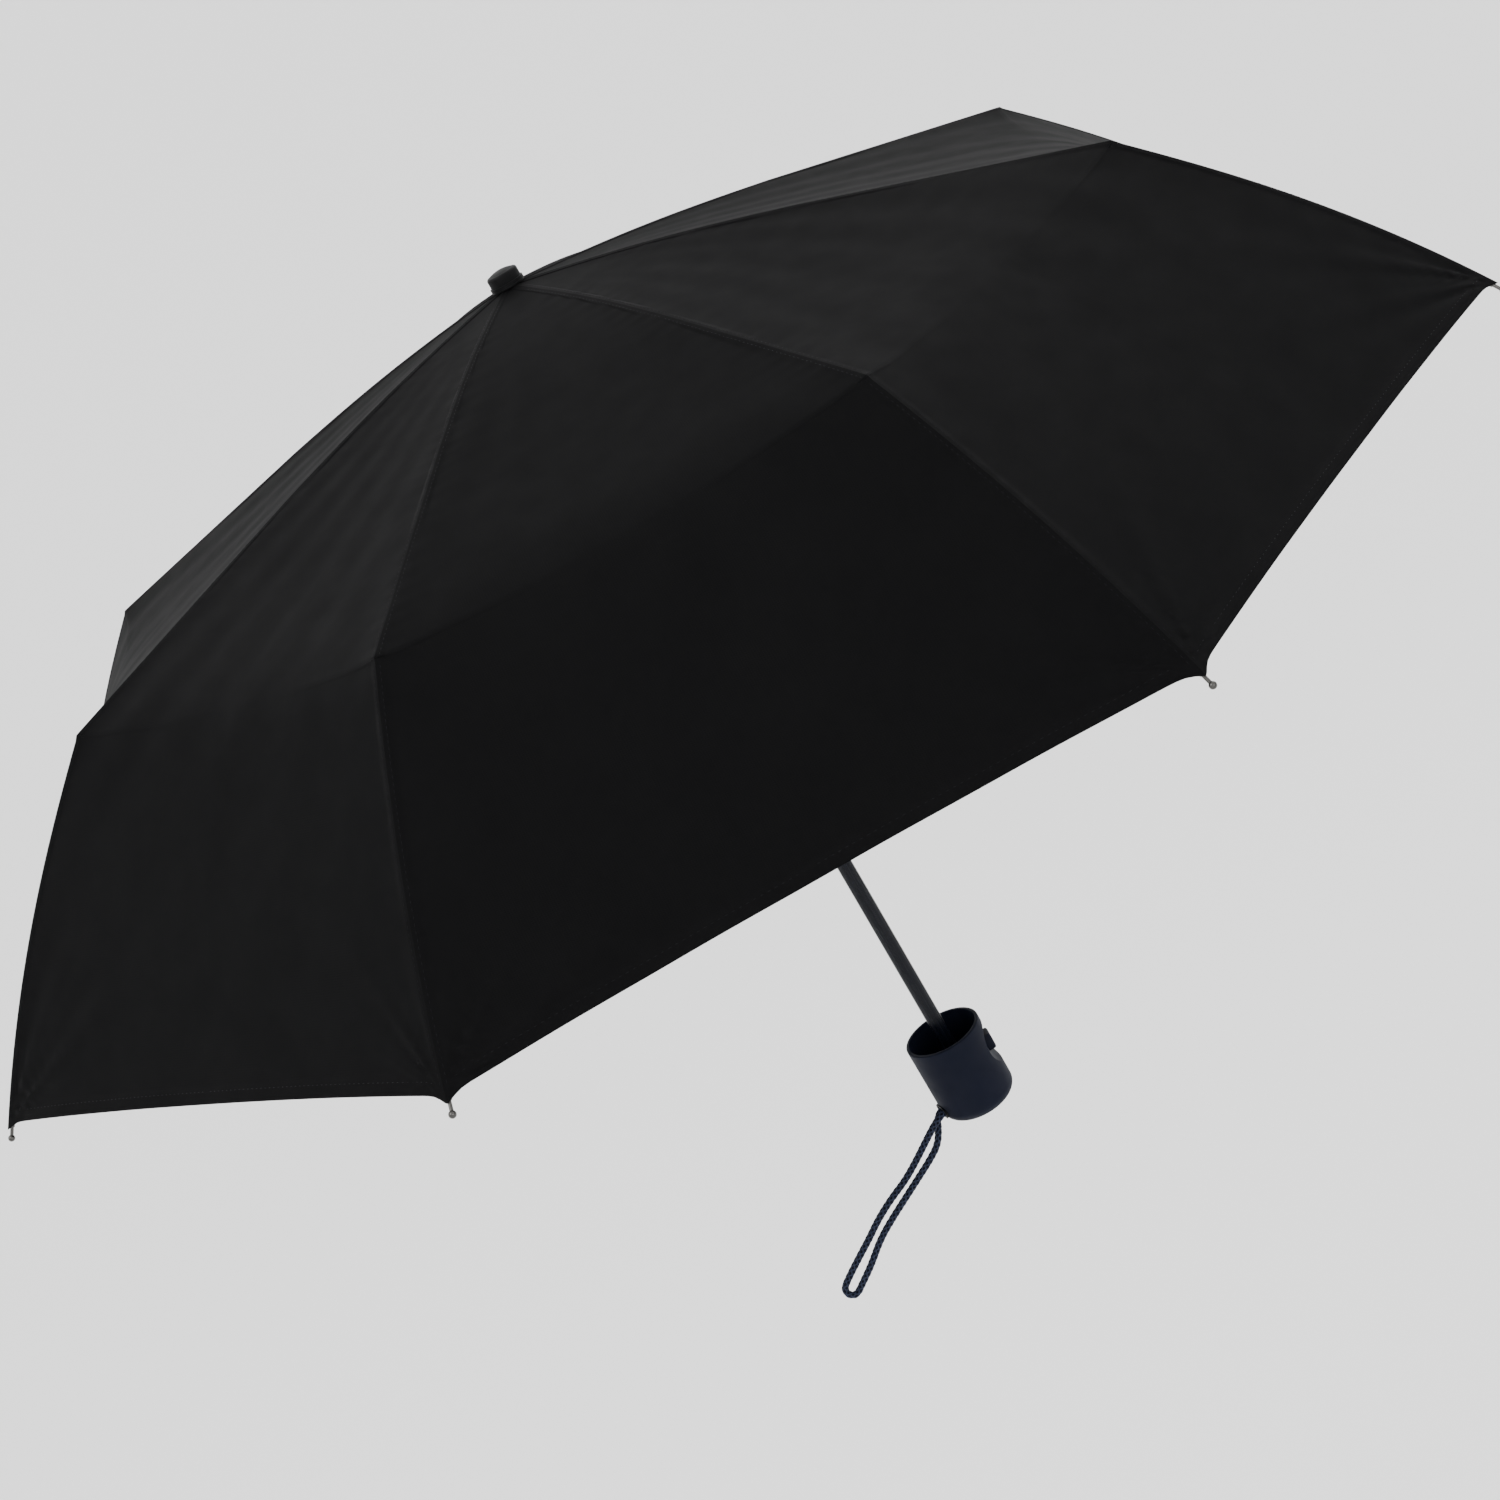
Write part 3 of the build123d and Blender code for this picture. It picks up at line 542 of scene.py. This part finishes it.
def cloth(u, s, seed):
    """A point of a panel: out along its middle, across it, and up."""
    u, s = np.broadcast_arrays(np.asarray(u, float), np.asarray(s, float))
    middle = np.maximum(1 - u * u, 0)
    tight, soft = sampled(FLAT, s), sampled(SOFT, s)
    place = tight + (soft - tight) * (SOFTENED * middle ** 0.6)[..., None]
    slope = sampled(SOFT, s + 0.002) - sampled(SOFT, s - 0.002)
    slope /= np.linalg.norm(slope, axis=-1)[..., None]
    out, up = -slope[..., 1], slope[..., 0]
    share = np.clip(s / ENDS[3], 0, 1)
    side = np.maximum(1 - np.abs(u), 0) * place[..., 0] * math.sin(HALF)
    sink = SAG * middle * np.sin(math.pi * share ** 1.5) + HEM_SAG * middle * share ** 4
    raised = SEAM_UP * smoothstep((SEAM_W + SEAM_EDGE - side) / SEAM_EDGE)
    raised = np.maximum(raised, HEM_UP * smoothstep((s - hem_at(u) + HEM_W) / HEM_EDGE))
    lift = raised - sink + ripple(u, s, side, seed) * smoothstep(s / 0.06)
    r = place[..., 0] + out * lift
    z = place[..., 1] + up * lift
    return np.stack([r * math.cos(HALF), u * r * math.sin(HALF), z], axis=-1)


def cloth_normal(u, s, seed):
    step_u, step_s = 0.004, 0.0008
    u, s = np.broadcast_arrays(np.asarray(u, float), np.asarray(s, float))
    across = cloth(u + step_u, s, seed) - cloth(u - step_u, s, seed)
    along = cloth(u, s + step_s, seed) - cloth(u, s - step_s, seed)
    normal = np.cross(along, across)
    return normal / np.linalg.norm(normal, axis=-1)[..., None]


def turned(points, angle):
    c, s = math.cos(angle), math.sin(angle)
    return points @ np.array([[c, s, 0], [-s, c, 0], [0, 0, 1]])


def sheet_mesh(points, normals, flip):
    """A thin closed sheet from a grid: its face, its back and the rim, each with its own corners."""
    rows, columns = points.shape[:2]
    face = points.reshape(-1, 3)
    back = face - CLOTH * normals.reshape(-1, 3)
    vertices, shading = [face, back], [normals.reshape(-1, 3), -normals.reshape(-1, 3)]
    index = np.arange(rows * columns).reshape(rows, columns)
    quads = np.stack([index[:-1, :-1], index[1:, :-1], index[1:, 1:], index[:-1, 1:]], -1)
    quads = quads.reshape(-1, 4)
    if flip:
        quads = quads[:, ::-1]
    faces = [quads, quads[:, ::-1] + rows * columns]
    start = 2 * rows * columns
    for ring, way in ((index[0], 1), (index[-1], -1), (index[:, 0], -1), (index[:, -1], 1)):
        ring = ring[::way * (-1 if flip else 1)]
        n = len(ring)
        edge = face[ring[1:]] - face[ring[:-1]]
        outward = np.cross(normals.reshape(-1, 3)[ring[:-1]], edge)
        outward = np.concatenate([outward, outward[-1:]])
        outward /= np.linalg.norm(outward, axis=1)[:, None] + 1e-12
        vertices += [face[ring], back[ring]]
        shading += [-outward, -outward]
        a = start + np.arange(n - 1)
        faces.append(np.stack([a, a + 1, a + 1 + n, a + n], -1))
        start += 2 * n
    return vertices, shading, faces, start


def stitches(places, start):
    """Low lozenges of thread: rows of (point, direction, normal)."""
    vertices, shading, faces = [], [], []
    for point, way, normal in places:
        side = np.cross(normal, way)
        ends = [point - way * STITCH_L / 2, point + way * STITCH_L / 2]
        mids = [point - side * STITCH_W / 2, point + side * STITCH_W / 2]
        top = point + normal * STITCH_W * STITCH_UP
        vertices += [ends[0], mids[0], ends[1], mids[1], top]
        shading += [-way * 0.7 + normal * 0.7, -side * 0.7 + normal * 0.7,
                    way * 0.7 + normal * 0.7, side * 0.7 + normal * 0.7, normal]
        a = start + len(vertices) - 5
        faces += [(a, a + 1, a + 4), (a + 1, a + 2, a + 4), (a + 2, a + 3, a + 4),
                  (a + 3, a, a + 4), (a + 3, a + 2, a + 1, a)]
    return vertices, shading, faces


def stitch_places(half, low, high, hem, seed):
    """A row beside the rib seam and, on the outer part, one along the hem."""
    found = []
    width = SEAM_W * SEAM_ROW
    for s in np.arange(low + STITCH_GAP / 2, high - STITCH_GAP / 2, STITCH_GAP):
        r = sampled(FLAT, s)[0]
        share = width / (r * math.sin(HALF))
        if share < SEAM_CROWDED:
            found.append((half * (1 - share), s, (0.0, 0.001)))
    if hem:
        span = sampled(FLAT, hem_at(0.0))[0] * math.sin(HALF)
        for x in np.arange(STITCH_GAP * 2, span, STITCH_GAP):
            u = half * (1 - x / span)
            found.append((u, float(hem_at(u)) - HEM_W * HEM_ROW, (0.003, 0.0)))
    rows = []
    for u, s, (du, ds) in found:
        point = cloth(u, s, seed)
        ahead = cloth(u + du, s + ds, seed) - point
        normal = cloth_normal(u, s, seed)
        ahead = ahead - normal * np.dot(ahead, normal)
        rows.append((point, ahead / np.linalg.norm(ahead), normal))
    return rows


def gusset_end(u):
    """Across the outer facet from the second knee, at right angles to its rib."""
    share = np.maximum(1 - np.abs(u), 0) * math.sin(HALF) ** 2
    lean = (TIP[0] - KNEE_2[0]) / math.dist(TIP, KNEE_2)
    return ENDS[2] + share * KNEE_2[0] * lean / (1 - share * lean * lean)


def at(s):
    return lambda u: s + 0 * u


# name, the body it rides on (the crown rides on none), its two edges, rows, which two pivots bound it
REGIONS = (
    ("crown", "top_rib", at(0.0), at(CROWN_S), 14, 0),
    ("top", "top_rib", at(CROWN_S), at(ENDS[1]), 44, 0),
    ("mid", "mid_rib", at(ENDS[1]), at(ENDS[2]), 48, 1),
    ("gusset", "outer_rib", at(ENDS[2]), gusset_end, 14, 2),
    ("outer", "outer_rib", gusset_end, hem_at, 72, 2),
)
ACROSS = 26                  # points across a half-panel
CROWDING = 1.5               # they crowd towards the rib by this power
GUSSET_FROM = 0.012          # a gusset's point is this far from the rib, as a share


def half_panel(k, half, region, seed):
    """One side of a panel over one rib member. half is -1 beside rib k and 1 beside the next."""
    name, member, start, stop, steps, section = region
    first = GUSSET_FROM ** (1 / CROWDING) if name == "gusset" else 0
    share = np.linspace(first, 1, ACROSS) ** CROWDING
    u = half * (1 - share)[None, :]
    t = np.linspace(0, 1, steps)[:, None]
    s = start(u) + t * (stop(u) - start(u))
    u, s = np.broadcast_arrays(u, s)
    points, normals = cloth(u, s, seed), cloth_normal(u, s, seed)
    rows = []
    if name in ("top", "mid", "outer"):
        low = (CROWN_S, ENDS[1], ENDS[2])[section]
        high = (ENDS[1], ENDS[2], ENDS[3] - SEAM_STOP)[section]
        rows = stitch_places(half, low, high, name == "outer", seed)
    rib = (k if half < 0 else k + 1) % RIBS + 1
    title = f"canopy_{name}_{rib}{'b' if half < 0 else 'a'}"
    piece = cloth_piece(title, points, normals, rows, (u, s), azimuth(k) + HALF, half)
    if name == "crown":
        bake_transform(piece)
    else:
        fold(piece, rib, half, section, name == "gusset")
        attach(piece, f"{member}_{rib}")
    return declare(points)


def cloth_piece(title, points, normals, rows, place, middle, half):
    vertices, shading, faces, count = sheet_mesh(points, normals, half > 0)
    extra, extra_shading, extra_faces = stitches(rows, count)
    flat = np.concatenate(vertices + ([np.array(extra)] if rows else []))
    shade = np.concatenate(shading + ([np.array(extra_shading)] if rows else []))
    plain = [tuple(int(i) for i in q) for block in faces for q in block]
    piece = mesh_object(title, turned(flat, middle), plain + extra_faces,
                        [PONGEE, THREAD] if rows else [PONGEE])
    mesh = piece.data
    mesh.polygons.foreach_set("material_index", [0] * len(plain) + [1] * len(extra_faces))
    lay_out(mesh, *place, count)
    shade = turned(shade, middle)
    shade /= np.linalg.norm(shade, axis=1)[:, None] + 1e-12
    mesh.normals_split_custom_set_from_vertices([tuple(n) for n in shade])
    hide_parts("canopy")
    return piece


def declare(points):
    """The area of the cloth's grid, from the cross products of its cells' diagonals."""
    across = np.linalg.norm(np.cross(points[1:, 1:] - points[:-1, :-1],
                                     points[1:, :-1] - points[:-1, 1:]), axis=2)
    cut = float(across.sum() / 2)
    return cut


def knee_patch(k, half, seed):
    """A small patch just under the cloth at the second knee, fixed at its resting place and attached to no rib."""
    side = np.linspace(0, PATCH_W, 7)[None, :]
    s = np.linspace(ENDS[2] - PATCH_L, ENDS[2] + PATCH_L, 22)[:, None]
    u = half * (1 - side / (KNEE_2[0] * math.sin(HALF)))
    u, s = np.broadcast_arrays(u, s)
    normals = cloth_normal(u, s, seed)
    points = cloth(u, s, seed) - PATCH_UNDER * CLOTH * normals
    rib = (k if half < 0 else k + 1) % RIBS + 1
    title = f"knee_patch_{rib}{'b' if half < 0 else 'a'}"
    piece = cloth_piece(title, points, normals, [], (u, s), azimuth(k) + HALF, half)
    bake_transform(piece)
    return declare(points)


def lay_out(mesh, u, s, count):
    """A map of the cloth in metres, for the weave."""
    layer = mesh.uv_layers.new(name="cloth")
    across = (u * sampled(FLAT, s)[..., 0] * math.sin(HALF)).ravel()
    flat = np.stack([across, s.ravel()], axis=1)
    total = np.zeros((len(mesh.vertices), 2))
    n = len(flat)
    total[:n], total[n:2 * n] = flat, flat
    loops = np.empty(len(mesh.loops), dtype=np.int32)
    mesh.loops.foreach_get("vertex_index", loops)
    layer.data.foreach_set("uv", total[loops].ravel().astype(np.float32))


def fold(piece, rib, half, section, gusset):
    """Works out the axis the half-panel would gather about beside its rib as the runner comes down, or for a
    gusset the line across to the next rib, then gives the piece a mesh of its own; the axis is not applied."""
    angle = azimuth(rib - 1)
    ends = (NOTCH, KNEE_1, KNEE_2, TIP)
    a, b = ends[section], ends[section + 1]
    outward = Vector((math.cos(angle), math.sin(angle), 0))
    across = Vector((-math.sin(angle), math.cos(angle), 0))
    along = outward * (b[0] - a[0]) + Vector((0, 0, b[1] - a[1]))
    along.normalize()
    other = angle - half * 2 * HALF
    chord = Vector((math.cos(other), math.sin(other), 0)) - outward
    normal = along.cross(chord)
    axis = normal.cross(along).normalized()
    if axis.dot(across) < 0:
        axis = -axis
    if gusset:
        axis = chord.normalized()
    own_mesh(piece)


def make_canopy():
    total = 0.0
    for k in range(RIBS):
        for half in (-1, 1):
            seed = 1.3 * k + 0.4
            for region in REGIONS:
                total += half_panel(k, half, region, seed)
            knee_patch(k, half, seed)
    print("cloth area, square metres:", round(total, 4))


# ---- stage ------------------------------------------------------------------------------------
FLOOR_DROP = 1.5
FLOOR_R, WALL_TURN, WALL_H = 7.0, 3.0, 5.0
WALL_STEPS, FLOOR_SIDES = 12, 64
WORLD_STRENGTH = 2.0
LAMP_AIM = Vector((0, 0, 0.4))
LAMPS = (                    # name, place, size, power
    ("key", (-1.6, -1.4, 2.6), 1.8, 40),
    ("rim", (1.8, 1.2, 1.9), 1.2, 20),
    ("front", (0.9, -2.4, 0.9), 1.4, 12),
)


def make_stage():
    """A round floor whose far edge curves up into a wall, so that no horizon shows."""
    profile = [(FLOOR_R, 0.0)]
    for step in range(1, WALL_STEPS + 1):
        a = math.pi / 2 * step / WALL_STEPS
        profile.append((FLOOR_R + WALL_TURN * math.sin(a), WALL_TURN * (1 - math.cos(a))))
    profile.append((FLOOR_R + WALL_TURN, WALL_H))
    turns = [2 * math.pi * i / FLOOR_SIDES for i in range(FLOOR_SIDES)]
    vertices = [(r * math.cos(turn), r * math.sin(turn), z) for r, z in profile for turn in turns]
    faces = [tuple(range(FLOOR_SIDES))]
    for row in range(len(profile) - 1):
        for i in range(FLOOR_SIDES):
            a, b = row * FLOOR_SIDES + i, row * FLOOR_SIDES + (i + 1) % FLOOR_SIDES
            faces.append((a, a + FLOOR_SIDES, b + FLOOR_SIDES, b))
    floor = mesh_object("floor", vertices, faces, [])
    floor.data.polygons[0].use_smooth = False
    floor.location.z = cad_low[2] - FLOOR_DROP
    mat, _, _ = principled("floor", (0.92, 0.92, 0.92), 0.9, Specular_IOR_Level=0.1)
    floor.data.materials.append(mat)
    world = bpy.data.worlds.new("studio")
    world.use_nodes = True
    world.node_tree.nodes["Background"].inputs["Color"].default_value = (1, 1, 1, 1)
    world.node_tree.nodes["Background"].inputs["Strength"].default_value = WORLD_STRENGTH
    bpy.context.scene.world = world
    for each in LAMPS:
        lamp(*each)


def lamp(name, place, size, power):
    data = bpy.data.lights.new(name, "AREA")
    data.shape, data.size, data.energy = "DISK", size, power
    obj = bpy.data.objects.new(name, data)
    bpy.context.collection.objects.link(obj)
    obj.location = place
    obj.rotation_euler = (LAMP_AIM - Vector(place)).to_track_quat("-Z", "Y").to_euler()


make_camera()
make_strap()
finish_cad_nodes()
make_canopy()
make_stage()
